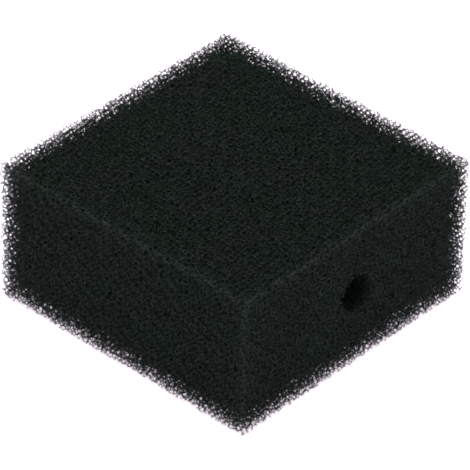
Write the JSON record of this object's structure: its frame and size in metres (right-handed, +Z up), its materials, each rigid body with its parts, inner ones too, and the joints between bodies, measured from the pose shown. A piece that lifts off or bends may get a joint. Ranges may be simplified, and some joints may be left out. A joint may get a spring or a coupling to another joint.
{
  "type": "sponge filter",
  "caption": "Square block of dark open-cell filter foam with a round blind bore in one side, which pushes over a pump inlet.",
  "frame": {"origin": "centre of the underside of the block", "axes": "+Z up through the block's thickness; the bore runs along Y and opens through the -Y side"},
  "size_m": [0.1, 0.1, 0.049],
  "materials": {
    "foam": "open-cell foam, matte, dark green-black"
  },
  "bodies": {
    "root": {"foam_block": "foam"}
  },
  "joints": []
}
